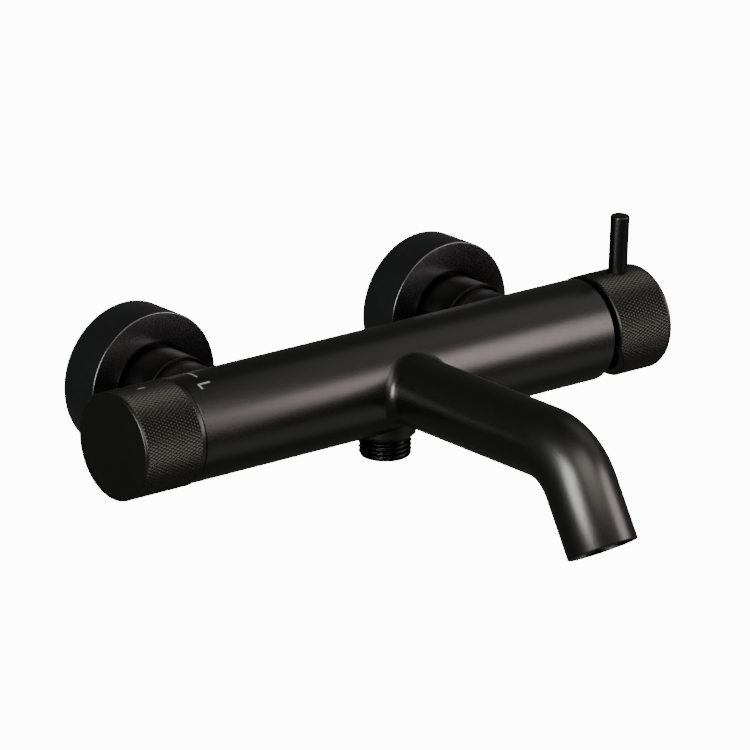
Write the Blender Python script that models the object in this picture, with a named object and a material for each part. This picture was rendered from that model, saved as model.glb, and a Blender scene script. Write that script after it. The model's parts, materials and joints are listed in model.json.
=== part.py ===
"""Wall mounted bath mixer: body, two wall unions, lever cartridge, bent spout, shower outlet and diverter.

The wall is the plane Y = 0 and the faucet stands out of it towards -Y. X runs along the body, from the
diverter knob to the mixer knob, and Z is up. The origin is on the wall, midway between the two inlets.
All sizes are in metres.
"""
from math import asin, cos, pi, radians, sin, sqrt, tan, tau

import bmesh
import bpy
from mathutils import Matrix, Vector

# --- clearances ---------------------------------------------------------------------------------------
FIT = 0.0003                # between two pieces that touch
RUN = 0.0004                # round a piece that turns or slides

# --- body casting -------------------------------------------------------------------------------------
WALL_TO_AXIS = 0.0675
INLET_SPACING = 0.150
BODY_RADIUS = 0.0209
BODY_LEFT = -0.1023
BODY_RIGHT = 0.1035
EDGE_BREAK = 0.0004         # small bevel on turned edges

# --- wall unions, from the body's axis towards the wall -----------------------------------------------
NECK_RADIUS = 0.0148
NECK_BORE_DEPTH = 0.0153
NUT_RADIUS = 0.0164
NUT_FRONT = 0.0317
NUT_LENGTH = 0.0176
NUT_LIP = 0.0024
UNION_THREAD = 0.0132       # G3/4 outside radius
PIPE_THREAD = 0.01048       # G1/2 outside radius
TAIL_BORE = 0.0064
TAIL_ROOT = 0.0090
TAIL_SOCKET = BODY_RADIUS + 0.0031
TAIL_NECK = 0.0104
TAIL_FLANGE = 0.0020
WASHER_THICKNESS = 0.0020
WASHER_BORE = 0.0076
STRAINER_RIM = 0.0010
UNION_COLLAR = 0.0176
UNION_THREAD_LENGTH = 0.0116
UNION_COLLAR_LENGTH = 0.0100
WALL_BORE = 0.0074
WALL_THREAD = 0.0140        # reach into the wall
ECCENTRICITY = 0.0060
ROSETTE_RADIUS = 0.0300
ROSETTE_DEPTH = 0.0189
ROSETTE_WALL = 0.0022
ROSETTE_SLEEVE = 0.0115
ROSETTE_BREAK = 0.0008
SEAL_WIDTH = 0.0035
SEAL_THICKNESS = 0.0020

# --- spout --------------------------------------------------------------------------------------------
OUTLET_X = 0.0020           # spout and shower outlet along the body
SPOUT_RADIUS = 0.0141
SPOUT_WALL = 0.0015
SPOUT_STRAIGHT = 0.0965     # from the body's axis to the bend
SPOUT_BEND = 0.0252
SPOUT_DROP = radians(59)
SPOUT_NOSE = 0.0254
BOSS_END = BODY_RADIUS + 0.0053
BOSS_FILLET = 0.0040
FILLET_SINK = 0.00015       # how far the blend's edge lies under the body's surface
SPIGOT_LENGTH = 0.0060
SPOUT_BORE = 0.0090
SPOUT_BORE_START = 0.0120
AERATOR_LENGTH = 0.0090
AERATOR_RECESS = 0.0010
AERATOR_WALL = 0.0018
AERATOR_STEP = 0.0004
GASKET_WIDTH = 0.0027
JET_RADIUS = 0.0011
JET_CIRCLE = 0.0058
JET_COUNT = 6

# --- shower outlet, from the body's axis down ---------------------------------------------------------
COLLAR_RADIUS = 0.0122
COLLAR_BOTTOM = BODY_RADIUS + 0.0007
COLLAR_CHAMFER = 0.0015
NIPPLE_TOP = BODY_RADIUS - 0.0069
NIPPLE_BOTTOM = BODY_RADIUS + 0.0104
NIPPLE_ROOT = 0.0096
NIPPLE_BORE = 0.0077
NIPPLE_BORE_START = BODY_RADIUS - 0.0039
NIPPLE_INLET = 0.0050
VALVE_LENGTH = 0.0112
VALVE_SEAT = 0.0036
VALVE_SEAT_DEPTH = 0.0017
VALVE_BORE = 0.0058
VALVE_GUIDE = 0.0025
VALVE_PORT = 0.0014
VALVE_PORT_COUNT = 4
POPPET_RADIUS = 0.0046
POPPET_THICKNESS = 0.0012
POPPET_STEM = 0.0012
SPRING_RADIUS = 0.0030
SPRING_WIRE = 0.00035
SPRING_TURNS = 3

# --- mixing cartridge ---------------------------------------------------------------------------------
POCKET_FLOOR = 0.0660
CARTRIDGE_RADIUS = 0.0125
BASE_THICKNESS = 0.0040
PORT_CIRCLE = 0.40 * CARTRIDGE_RADIUS
PORT_RADIUS = 0.144 * CARTRIDGE_RADIUS
PORT_SEAL = 0.192 * CARTRIDGE_RADIUS    # middle of the seal's ring
SEAL_CORD = 0.00045         # half the thickness of a small O-ring
HOT_ANGLE, COLD_ANGLE, MIXED_ANGLE = radians(150), radians(30), radians(270)
DISC_THICKNESS = 0.0030
FIXED_DISC = 0.84 * CARTRIDGE_RADIUS
MOVING_DISC = CARTRIDGE_RADIUS - 0.0041
DISC_POCKET = 0.272 * CARTRIDGE_RADIUS
DISC_POCKET_DEPTH = 0.0015
POCKET_TAIL = 0.192 * CARTRIDGE_RADIUS
POCKET_TAIL_DROP = 0.32 * CARTRIDGE_RADIUS
HOUSING_BORE = CARTRIDGE_RADIUS - 0.0013
HOUSING_TOP = 0.0034
ROTOR_LENGTH = 0.0125
ROTOR_NECK = CARTRIDGE_RADIUS - 0.0035
ROTOR_END = 0.0995
PIVOT_X = 0.0900
PIVOT_PIN = 0.0010
STEM_SIDE = 0.0050
STEM_BALL = 0.0018
STEM_BALL_X = 0.0792
STEM_NECK = 0.0012
STEM_SHOULDER = 0.0814
STEM_RIGHT = 0.1225
LEVER_OPEN = radians(24)
CLAMP_RADIUS = 0.0150
CLAMP_HOLE = 0.0102
CLAMP_LENGTH = 0.0060
SPANNER_SLOT = 0.0030

# --- mixer knob ---------------------------------------------------------------------------------------
MIXER_TURN = radians(2.5)   # how far the lever is turned from upright, towards the front
MIXER_KNOB_LEFT = 0.1062
MIXER_KNOB_RIGHT = 0.1333
KNOB_RADIUS = 0.0214
KNOB_WALL = 0.0030
KNOB_END = 0.0040
KNOB_BEVEL = 0.0009
RELIEF_START = 0.0018       # below the axis
RELIEF_ANGLE = radians(28.4)
MIXER_BOSS_LEFT = 0.1100
MIXER_BOSS = 0.0075
LEVER_X = 0.1216
LEVER_RADIUS = 0.00388
LEVER_TOP = 0.0452
LEVER_SEAT = 0.0204
LEVER_STUD = 0.0025
LEVER_STUD_LENGTH = 0.0026
GRUB_RADIUS = 0.0018
GRUB_SOCKET = 0.0009
GRUB_SOCKET_DEPTH = 0.0014
MIXER_GRUB_X = 0.1190
MIXER_GRUB_LENGTH = 0.0042

# --- diverter -----------------------------------------------------------------------------------------
SEAT_X = -0.0700
CHAMBER_RADIUS = 0.0108
CHAMBER_LEFT = -0.0850
BUSH_THREAD = 0.0120
BUSH_HEX = 0.0140
BUSH_HEX_LENGTH = 0.0050
BUSH_GROOVE = -0.0840
BUSH_GROOVE_WIDTH = 0.0018
BUSH_SEAL_CORD = 0.00055
DIVERTER_GASKET = 0.0012
DIVERTER_DISC = 0.0086
DIVERTER_CIRCLE = 0.0054
DIVERTER_PORT = 0.0020
KIDNEY_RADIUS = 0.0022
KIDNEY_STEPS = 4
SPINDLE_FLANGE = 0.0027
SPINDLE_RADIUS = 0.0049
SPINDLE_LEFT = -0.1200
SPINDLE_SEAL_X = -0.0908
SPINDLE_GROOVE = 0.0010
CLIP_GROOVE_X = -0.1082
CLIP_GROOVE_WIDTH = 0.0012
CLIP_RADIUS = 0.0064
CLIP_GAP = 0.0032
SPLINE_RADIUS = 0.0040
ADAPTER_RADIUS = 0.0070
DIVERTER_KNOB_LEFT = -0.1317
DIVERTER_KNOB_RADIUS = 0.0213
DIVERTER_BOSS = 0.0110
DIVERTER_BOSS_RIGHT = -0.1103
DIVERTER_GRUB_X = -0.1160
DIVERTER_GRUB_LENGTH = 0.0034

# --- water ways inside the casting --------------------------------------------------------------------
DUCT_RADIUS = 0.0022
COLD_DUCT_DEPTH = 0.0168    # behind the axis
COLD_DUCT_TURN = 0.0580
HOT_DUCT_DEPTH = 0.0155
HOT_DUCT_HEIGHT = 0.0060
HOT_DUCT_TURN = 0.0500
MIXED_CROSSING = 0.0460

# --- what follows from the sizes above ----------------------------------------------------------------
NECK_END = NUT_FRONT - FIT
FLANGE_START = NUT_FRONT + NUT_LIP + FIT
WASHER_START = FLANGE_START + TAIL_FLANGE + FIT
UNION_START = WASHER_START + WASHER_THICKNESS + FIT
COLLAR_START = UNION_START + UNION_THREAD_LENGTH
COLLAR_END = COLLAR_START + UNION_COLLAR_LENGTH
ROSETTE_FRONT = WALL_TO_AXIS - ROSETTE_DEPTH
ROSETTE_BORE = UNION_COLLAR + FIT
BASE_START = POCKET_FLOOR + FIT
DISC_START = BASE_START + BASE_THICKNESS + FIT
MOVING_START = DISC_START + DISC_THICKNESS + FIT
CARRIER_START = MOVING_START + DISC_THICKNESS + FIT
ROTOR_START = CARRIER_START + DISC_THICKNESS + FIT
HOUSING_TOP_START = ROTOR_START + ROTOR_LENGTH + FIT
HOUSING_END = HOUSING_TOP_START + HOUSING_TOP
BALL_ARM = PIVOT_X - STEM_BALL_X
CARRIAGE_TRAVEL = BALL_ARM * sin(LEVER_OPEN)
STEM_SLOT = STEM_SIDE / 2 + RUN
LEVER_SWING = STEM_SIDE / 2 / cos(LEVER_OPEN) + RUN
CHAMBER_SEAT = SEAT_X - FIT
DIVERTER_FIXED = CHAMBER_SEAT - DIVERTER_GASKET - FIT
DIVERTER_MOVING = DIVERTER_FIXED - DISC_THICKNESS - FIT
SPINDLE_START = DIVERTER_MOVING - DISC_THICKNESS - FIT
BUSH_SHOULDER = SPINDLE_START - SPINDLE_FLANGE - FIT
BUSH_HEX_START = BODY_LEFT - FIT
BUSH_END = BUSH_HEX_START - BUSH_HEX_LENGTH
DIVERTER_KNOB_RIGHT = BODY_LEFT - RUN

# --- finishes: colour, metallic, roughness ------------------------------------------------------------
FINISHES = {
    "gunmetal": ((0.055, 0.052, 0.050), 0.9, 0.38),
    "knurled": ((0.045, 0.043, 0.040), 0.9, 0.45),
    "dark_thread": ((0.020, 0.020, 0.020), 0.8, 0.45),
    "brass": ((0.55, 0.40, 0.16), 1.0, 0.35),
    "steel": ((0.52, 0.52, 0.52), 1.0, 0.30),
    "ceramic": ((0.80, 0.79, 0.75), 0.0, 0.20),
    "acetal": ((0.70, 0.70, 0.68), 0.0, 0.50),
    "rubber": ((0.015, 0.015, 0.015), 0.0, 0.80),
}

X, Y, Z = Vector((1, 0, 0)), Vector((0, 1, 0)), Vector((0, 0, 1))


def at(along, back=0.0, up=0.0):
    """A point given along the body's axis, behind it and above it."""
    return Vector((along, back - WALL_TO_AXIS, up))


def port(along, circle, angle):
    """A point at an angle round the body's axis, counted from the wall side upwards."""
    return at(along, circle * cos(angle), circle * sin(angle))


# --- modelling ----------------------------------------------------------------------------------------
def pivot(name, place, turn=0.0, parent=None):
    """An empty on a joint's axis, turned about X. Its pieces are given where they are before that turn."""
    empty = bpy.data.objects.new(name, None)
    bpy.context.scene.collection.objects.link(empty)
    empty["place"] = tuple(place)
    empty.parent = parent
    empty.location = place - Vector(parent["place"]) if parent else place
    empty.rotation_euler.x = turn
    return empty


def finished(name, shape, origin, finish, parent):
    """Turn a bmesh into an object at ORIGIN. One with no finish is a tool for Boolean modifiers."""
    bmesh.ops.recalc_face_normals(shape, faces=shape.faces)
    mesh = bpy.data.meshes.new(name)
    shape.to_mesh(mesh)
    shape.free()
    piece = bpy.data.objects.new(name, mesh)
    bpy.context.scene.collection.objects.link(piece)
    piece.parent = parent
    piece.location = origin - Vector(parent["place"]) if parent else origin
    if finish is None:
        piece.hide_render = True
        piece.display_type = "WIRE"
        return piece
    colour, metallic, roughness = FINISHES[finish]
    material = bpy.data.materials.new(f"{name}_{finish}")
    material.use_nodes = True
    shader = material.node_tree.nodes["Principled BSDF"]
    shader.inputs["Base Color"].default_value = (*colour, 1)
    shader.inputs["Metallic"].default_value = metallic
    shader.inputs["Roughness"].default_value = roughness
    mesh.materials.append(material)
    mesh.shade_smooth()
    mesh.set_sharp_from_angle(angle=radians(35))
    return piece


def turned(name, outline, origin, axis, finish=None, sides=20, parent=None):
    """Turn (along, radius) points round AXIS: a ring, unless the outline's ends are both on the axis."""
    across = X if abs(axis.x) < 0.5 else Z
    shape = bmesh.new()
    verts = [shape.verts.new(axis * along + across * radius) for along, radius in outline]
    edges = [shape.edges.new(pair) for pair in zip(verts, verts[1:])]
    if outline[0][1] > 0 or outline[-1][1] > 0:
        edges.append(shape.edges.new((verts[-1], verts[0])))
    bmesh.ops.spin(shape, geom=verts + edges, cent=(0, 0, 0), axis=axis, angle=tau, steps=sides,
                   use_merge=True, use_duplicate=False)
    bmesh.ops.remove_doubles(shape, verts=shape.verts, dist=1e-7)
    return finished(name, shape, origin, finish, parent)


def disc(start, end, radius):
    """The outline of a solid disc or rod."""
    return [(start, 0), (start, radius), (end, radius), (end, 0)]


def sleeve(start, end, inner, outer):
    """The outline of a plain tube."""
    return [(start, inner), (start, outer), (end, outer), (end, inner)]


def o_ring(name, centre, axis, middle, cord, sides=20, parent=None):
    outline = [(cord * sin(k * tau / 5), middle + cord * cos(k * tau / 5)) for k in range(5)]
    return turned(name, outline, centre, axis, "rubber", sides, parent)


def rod(name, start, end, radius, finish=None, sides=10, parent=None):
    """A straight cylinder between two points, in any direction."""
    run = end - start
    shape = bmesh.new()
    place = Matrix.Translation(run / 2) @ Z.rotation_difference(run).to_matrix().to_4x4()
    bmesh.ops.create_cone(shape, cap_ends=True, segments=sides, radius1=radius, radius2=radius,
                          depth=run.length, matrix=place)
    return finished(name, shape, start, finish, parent)


def block(name, low, high, finish=None, parent=None):
    """A box between two corners."""
    size = high - low
    shape = bmesh.new()
    place = Matrix.Translation(size / 2) @ Matrix.Diagonal((*size, 1))
    bmesh.ops.create_cube(shape, size=1, matrix=place)
    return finished(name, shape, low, finish, parent)


def prism(name, outline, half_width, origin, finish=None, parent=None):
    """An outline of (x, z) points, extruded both ways along Y."""
    shape = bmesh.new()
    face = shape.faces.new([shape.verts.new((x, -half_width, z)) for x, z in outline])
    grown = bmesh.ops.extrude_face_region(shape, geom=[face])["geom"]
    bmesh.ops.translate(shape, verts=[v for v in grown if isinstance(v, bmesh.types.BMVert)],
                        vec=Y * 2 * half_width)
    return finished(name, shape, origin, finish, parent)


def stacked_rings(shape, rings, closed):
    """Bridge rings of points in turn. CLOSED joins the last to the first, else both ends get a cap."""
    loops = [[shape.verts.new(point) for point in ring] for ring in rings]
    pairs = list(zip(loops, loops[1:] + loops[:1])) if closed else list(zip(loops, loops[1:]))
    for one, other in pairs:
        for k in range(len(one)):
            after = (k + 1) % len(one)
            shape.faces.new((one[k], one[after], other[after], other[k]))
    if not closed:
        shape.faces.new(loops[0])
        shape.faces.new(loops[-1])


def swept_tube(name, path, outer, inner, origin, finish, sides=24):
    """A tube along a path of (back, up, pitch) stations in the plane of the spout."""
    def ring(station, radius):
        back, up, pitch = station
        side = Vector((0, -sin(pitch), cos(pitch)))
        turns = [k * tau / sides for k in range(sides)]
        return [Vector((0, back, up)) + radius * (cos(t) * X + sin(t) * side) for t in turns]
    shape = bmesh.new()
    rings = [ring(s, outer) for s in path] + [ring(s, inner) for s in reversed(path)]
    stacked_rings(shape, rings, closed=True)
    return finished(name, shape, origin, finish, None)


def filleted_boss(name, radius, end, fillet, root, origin, sides=24, steps=3):
    """A round boss towards -Y on the body, blended into it by a ball that rolls round the corner."""
    turns = [k * tau / sides for k in range(sides)]
    rings = [[Vector((radius * cos(t), -end, radius * sin(t))) for t in turns]]
    for step in range(steps + 1):
        ring = []
        for t in turns:
            up = (radius + fillet) * sin(t)
            reach = BODY_RADIUS + fillet - FILLET_SINK
            ball = Vector(((radius + fillet) * cos(t), -sqrt(reach ** 2 - up * up), up))
            to_boss = Vector((-cos(t), 0, -sin(t)))
            to_body = Vector((0, -ball.y, -ball.z)).normalized()
            ring.append(ball + fillet * to_boss.slerp(to_body, step / steps))
        rings.append(ring)
    rings.append([Vector((radius * cos(t), -root, radius * sin(t))) for t in turns])
    shape = bmesh.new()
    stacked_rings(shape, rings, closed=False)
    return finished(name, shape, origin, None, None)


def boolean(target, operation, tools):
    for tool in tools:
        change = target.modifiers.new(f"{operation.lower()}_{tool.name}", "BOOLEAN")
        change.operation = operation
        change.object = tool


def cut(target, *tools):
    boolean(target, "DIFFERENCE", tools)


def fuse(target, *tools):
    boolean(target, "UNION", tools)


# --- the spout's path ---------------------------------------------------------------------------------
def spout_path(start, bend_steps=7):
    """Stations (back, up, pitch) from START: straight out, round the bend, and down the nose."""
    stations = [(-start, 0.0, 0.0)]
    for k in range(bend_steps + 1):
        pitch = SPOUT_DROP * k / bend_steps
        stations.append((-SPOUT_STRAIGHT - SPOUT_BEND * sin(pitch), -SPOUT_BEND * (1 - cos(pitch)), pitch))
    back, up, pitch = stations[-1]
    stations.append((back - SPOUT_NOSE * cos(pitch), up - SPOUT_NOSE * sin(pitch), pitch))
    return stations


# --- body ---------------------------------------------------------------------------------------------
def make_body():
    """The casting: outside, bosses, cartridge pocket, diverter chamber and water ways."""
    axis = at(0)
    thread_bore, clamp_bore, pocket = BUSH_THREAD + FIT, CLAMP_RADIUS + FIT, CARTRIDGE_RADIUS + FIT
    body = turned("body_casting", [
        (SEAT_X, 0), (SEAT_X, CHAMBER_RADIUS), (CHAMBER_LEFT, CHAMBER_RADIUS), (CHAMBER_LEFT, thread_bore),
        (BODY_LEFT, thread_bore), (BODY_LEFT, BODY_RADIUS - EDGE_BREAK),
        (BODY_LEFT + EDGE_BREAK, BODY_RADIUS), (BODY_RIGHT - EDGE_BREAK, BODY_RADIUS),
        (BODY_RIGHT, BODY_RADIUS - EDGE_BREAK),
        (BODY_RIGHT, clamp_bore), (HOUSING_END, clamp_bore), (HOUSING_END, pocket), (POCKET_FLOOR, pocket),
        (POCKET_FLOOR, 0),
    ], axis, X, "gunmetal", sides=44)

    outlet = at(OUTLET_X)
    boss_root = SPOUT_BORE_START - 0.002
    fuse(body, filleted_boss("spout_boss_tool", SPOUT_RADIUS, BOSS_END, BOSS_FILLET, boss_root, outlet))
    spigot = SPOUT_RADIUS - SPOUT_WALL - FIT
    fuse(body, turned("spigot_tool", disc(BODY_RADIUS, BOSS_END + SPIGOT_LENGTH, spigot), outlet, -Y))
    collar_foot = COLLAR_BOTTOM + COLLAR_CHAMFER
    fuse(body, turned("collar_tool", [
        (COLLAR_RADIUS, 0), (COLLAR_RADIUS, COLLAR_RADIUS), (COLLAR_BOTTOM, COLLAR_RADIUS),
        (collar_foot, COLLAR_RADIUS - COLLAR_CHAMFER), (collar_foot, 0),
    ], outlet, -Z))

    socket = TAIL_ROOT + FIT
    for side, sign in (("left", -1), ("right", 1)):
        inlet = at(sign * INLET_SPACING / 2)
        fuse(body, turned(f"neck_tool_{side}", [
            (NECK_BORE_DEPTH, 0), (NECK_BORE_DEPTH, NECK_RADIUS), (NECK_END, NECK_RADIUS),
            (NECK_END, socket), (TAIL_SOCKET, socket), (TAIL_SOCKET, 0),
        ], inlet, Y, sides=24))
        cut(body, turned(f"neck_bore_tool_{side}", disc(NECK_BORE_DEPTH, TAIL_SOCKET + FIT, TAIL_BORE),
                         inlet, Y, sides=20))
    cut(body, turned("spout_bore_tool", disc(SPOUT_BORE_START, BOSS_END + SPIGOT_LENGTH + FIT, SPOUT_BORE),
                     outlet, -Y))
    cut(body, turned("nipple_bore_tool", disc(NIPPLE_TOP - FIT, collar_foot + FIT, NIPPLE_ROOT + FIT),
                     outlet, -Z))
    cut_water_ways(body)
    return body


def cut_water_ways(body):
    """Hot and cold to the cartridge, mixed water to the diverter, and its two ways to spout and shower."""
    into_floor = POCKET_FLOOR + FIT
    cold_turn = at(COLD_DUCT_TURN, COLD_DUCT_DEPTH)
    hot_turn = at(HOT_DUCT_TURN, HOT_DUCT_DEPTH, HOT_DUCT_HEIGHT)
    mixed_port = port(into_floor, PORT_CIRCLE, MIXED_ANGLE)
    mixed_low = port(MIXED_CROSSING, PORT_CIRCLE, MIXED_ANGLE)
    mixed_back = port(MIXED_CROSSING, DIVERTER_CIRCLE, 0)
    seat = SEAT_X - FIT
    to_spout = port(OUTLET_X, DIVERTER_CIRCLE, pi / 2)
    to_shower = port(OUTLET_X, DIVERTER_CIRCLE, -pi / 2)
    runs = {
        "cold_along": (at(INLET_SPACING / 2, COLD_DUCT_DEPTH), cold_turn),
        "cold_in": (cold_turn, port(into_floor, PORT_CIRCLE, COLD_ANGLE)),
        "hot_along": (at(-INLET_SPACING / 2, HOT_DUCT_DEPTH, HOT_DUCT_HEIGHT), hot_turn),
        "hot_in": (hot_turn, port(into_floor, PORT_CIRCLE, HOT_ANGLE)),
        "mixed_out": (mixed_port, mixed_low),
        "mixed_over": (mixed_low, mixed_back),
        "mixed_along": (mixed_back, port(seat, DIVERTER_CIRCLE, 0)),
        "spout_along": (port(seat, DIVERTER_CIRCLE, pi / 2), to_spout),
        "spout_out": (to_spout, to_spout - Y * (SPOUT_BORE_START + DUCT_RADIUS)),
        "shower_along": (port(seat, DIVERTER_CIRCLE, -pi / 2), to_shower),
        "shower_out": (to_shower, at(OUTLET_X, 0, -NIPPLE_TOP)),
    }
    for name, (start, end) in runs.items():
        reach = (end - start).normalized() * DUCT_RADIUS / 2
        cut(body, rod(f"{name}_duct_tool", start - reach, end + reach, DUCT_RADIUS, sides=10))


# --- wall unions --------------------------------------------------------------------------------------
def make_union(side, sign):
    """Tail, captive nut, washer, strainer, eccentric union, rosette and its seal at one inlet."""
    inlet = at(sign * INLET_SPACING / 2)
    bore = UNION_THREAD + FIT
    nut_end = NUT_FRONT + NUT_LENGTH
    turned(f"inlet_tail_{side}", [
        (TAIL_SOCKET + FIT, TAIL_BORE), (TAIL_SOCKET + FIT, TAIL_ROOT), (NUT_FRONT, TAIL_ROOT),
        (NUT_FRONT, TAIL_NECK), (FLANGE_START, TAIL_NECK), (FLANGE_START, UNION_THREAD - FIT),
        (FLANGE_START + TAIL_FLANGE, UNION_THREAD - FIT), (FLANGE_START + TAIL_FLANGE, TAIL_BORE),
    ], inlet, Y, "brass")
    turned(f"union_nut_{side}", [
        (NUT_FRONT, TAIL_NECK + FIT), (NUT_FRONT, NUT_RADIUS - EDGE_BREAK),
        (NUT_FRONT + EDGE_BREAK, NUT_RADIUS), (nut_end, NUT_RADIUS), (nut_end, bore),
        (NUT_FRONT + NUT_LIP, bore), (NUT_FRONT + NUT_LIP, TAIL_NECK + FIT),
    ], inlet, Y, "gunmetal", sides=32)
    turned(f"union_washer_{side}",
           sleeve(WASHER_START, WASHER_START + WASHER_THICKNESS, WASHER_BORE, UNION_THREAD - FIT),
           inlet, Y, "rubber")

    rim = WASHER_BORE - FIT
    start, end = WASHER_START + FIT, WASHER_START + WASHER_THICKNESS - FIT
    strainer = turned(f"inlet_strainer_{side}", sleeve(start, end, rim - STRAINER_RIM, rim),
                      inlet, Y, "steel")
    arm, bar = rim - STRAINER_RIM / 2, STRAINER_RIM / 2
    centre = inlet + Y * (start + end) / 2
    reaches = {"level": Vector((arm, bar, bar / 2)), "upright": Vector((bar / 2, 0.8 * bar, arm))}
    for name, reach in reaches.items():
        fuse(strainer, block(f"strainer_{name}_tool_{side}", centre - reach, centre + reach))

    union = turned(f"eccentric_union_{side}", [
        (UNION_START, 0), (UNION_START, UNION_THREAD), (COLLAR_START, UNION_THREAD),
        (COLLAR_START, UNION_COLLAR), (COLLAR_END, UNION_COLLAR), (COLLAR_END, 0),
    ], inlet, Y, "brass")
    wall_side = inlet - Z * ECCENTRICITY
    wall_end = WALL_TO_AXIS + WALL_THREAD
    fuse(union, turned(f"wall_thread_tool_{side}", disc(COLLAR_START + FIT, wall_end, PIPE_THREAD),
                       wall_side, Y))
    meeting = COLLAR_START + UNION_COLLAR_LENGTH / 2
    cut(union, turned(f"union_bore_tool_{side}", disc(UNION_START - FIT, meeting + RUN, TAIL_BORE),
                      inlet, Y, sides=20))
    cut(union, turned(f"wall_bore_tool_{side}", disc(meeting - RUN, wall_end + FIT, WALL_BORE),
                      wall_side, Y, sides=20))

    sleeve_outer = ROSETTE_BORE + ROSETTE_WALL
    skirt = ROSETTE_RADIUS - ROSETTE_WALL
    front_inside = ROSETTE_FRONT + ROSETTE_WALL
    sleeve_end = ROSETTE_FRONT + ROSETTE_SLEEVE
    turned(f"rosette_{side}", [
        (ROSETTE_FRONT, ROSETTE_BORE), (ROSETTE_FRONT, ROSETTE_RADIUS - ROSETTE_BREAK),
        (ROSETTE_FRONT + ROSETTE_BREAK, ROSETTE_RADIUS), (WALL_TO_AXIS, ROSETTE_RADIUS),
        (WALL_TO_AXIS, skirt), (front_inside, skirt), (front_inside, sleeve_outer),
        (sleeve_end, sleeve_outer), (sleeve_end, ROSETTE_BORE),
    ], inlet, Y, "gunmetal", sides=40)
    turned(f"rosette_seal_{side}",
           sleeve(WALL_TO_AXIS - SEAL_THICKNESS, WALL_TO_AXIS, skirt - FIT - SEAL_WIDTH, skirt - FIT),
           inlet, Y, "rubber")


# --- spout --------------------------------------------------------------------------------------------
def make_spout():
    """The bent tube over the casting's spigot, and the aerator screwed into its nose."""
    outlet = at(OUTLET_X)
    path = spout_path(BOSS_END + FIT)
    swept_tube("spout_tube", path, SPOUT_RADIUS, SPOUT_RADIUS - SPOUT_WALL, outlet, "gunmetal")

    back, up, pitch = path[-1]
    nose = at(OUTLET_X, back, up)
    inward = Vector((0, cos(pitch), sin(pitch)))
    shell = SPOUT_RADIUS - SPOUT_WALL - FIT
    housing_end = AERATOR_RECESS + AERATOR_LENGTH
    turned("aerator_housing", sleeve(AERATOR_RECESS, housing_end, shell - AERATOR_WALL, shell),
           nose, inward, "gunmetal")
    core = shell - AERATOR_WALL - FIT
    insert_start, insert_end = AERATOR_RECESS + AERATOR_STEP, housing_end - AERATOR_STEP
    insert = turned("aerator_insert", disc(insert_start, insert_end, core), nose, inward, "acetal")
    jets = [Vector((0, 0, 0))]
    level = inward.cross(X)
    jets += [JET_CIRCLE * (cos(k * tau / JET_COUNT) * X + sin(k * tau / JET_COUNT) * level)
             for k in range(JET_COUNT)]
    for number, offset in enumerate(jets):
        foot = nose + offset
        cut(insert, rod(f"jet_tool_{number}", foot, foot + inward * (insert_end + FIT), JET_RADIUS, sides=8))
    gasket_start = housing_end + FIT
    turned("aerator_gasket",
           sleeve(gasket_start, gasket_start + AERATOR_LENGTH / 6, shell - GASKET_WIDTH, shell),
           nose, inward, "rubber")


# --- shower outlet ------------------------------------------------------------------------------------
def make_shower_outlet():
    """The threaded nipple under the body with the check valve inside it."""
    outlet = at(OUTLET_X)
    collar_foot = COLLAR_BOTTOM + COLLAR_CHAMFER
    groove = NIPPLE_TOP + 2 * RUN + 2 * SEAL_CORD
    cord = SEAL_CORD + 0.00005
    groove_floor = NIPPLE_ROOT - 2 * SEAL_CORD
    turned("shower_nipple", [
        (NIPPLE_TOP, NIPPLE_INLET), (NIPPLE_TOP, NIPPLE_ROOT), (groove, NIPPLE_ROOT),
        (groove, groove_floor), (groove + 2 * cord + RUN, groove_floor),
        (groove + 2 * cord + RUN, NIPPLE_ROOT), (collar_foot + FIT, NIPPLE_ROOT),
        (collar_foot + FIT, PIPE_THREAD), (NIPPLE_BOTTOM - EDGE_BREAK, PIPE_THREAD),
        (NIPPLE_BOTTOM, PIPE_THREAD - EDGE_BREAK), (NIPPLE_BOTTOM, NIPPLE_BORE),
        (NIPPLE_BORE_START, NIPPLE_BORE), (NIPPLE_BORE_START, NIPPLE_INLET),
    ], outlet, -Z, "dark_thread")
    ring_centre = outlet - Z * (groove + cord + RUN / 2)
    o_ring("nipple_o_ring", ring_centre, Z, NIPPLE_ROOT - SEAL_CORD + FIT / 2, cord)

    valve_top = NIPPLE_BORE_START + FIT
    valve_end = valve_top + VALVE_LENGTH
    seat = valve_top + VALVE_SEAT_DEPTH
    guide = valve_end - VALVE_GUIDE
    guide_hole = POPPET_STEM + RUN
    valve = turned("check_valve_body", [
        (valve_top, VALVE_SEAT), (valve_top, NIPPLE_BORE - FIT), (valve_end, NIPPLE_BORE - FIT),
        (valve_end, guide_hole), (guide, guide_hole), (guide, VALVE_BORE), (seat, VALVE_BORE),
        (seat, VALVE_SEAT),
    ], outlet, -Z, "acetal")
    circle = (guide_hole + VALVE_BORE) / 2
    for number in range(VALVE_PORT_COUNT):
        turn = (number + 0.5) * tau / VALVE_PORT_COUNT
        foot = outlet + circle * Vector((cos(turn), sin(turn), 0))
        cut(valve, rod(f"valve_port_tool_{number}", foot - Z * (guide - FIT), foot - Z * (valve_end + FIT),
                       VALVE_PORT, sides=8))

    head = seat + FIT
    stem_end = valve_end - 2 * POPPET_STEM / 3
    turned("check_valve_poppet", [
        (head, 0), (head, POPPET_RADIUS), (head + POPPET_THICKNESS, POPPET_RADIUS),
        (head + POPPET_THICKNESS, POPPET_STEM), (stem_end, POPPET_STEM), (stem_end, 0),
    ], outlet, -Z, "acetal", sides=16)
    make_spring("check_valve_spring", outlet, head + POPPET_THICKNESS + FIT + SPRING_WIRE,
                guide - FIT - SPRING_WIRE)


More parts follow.
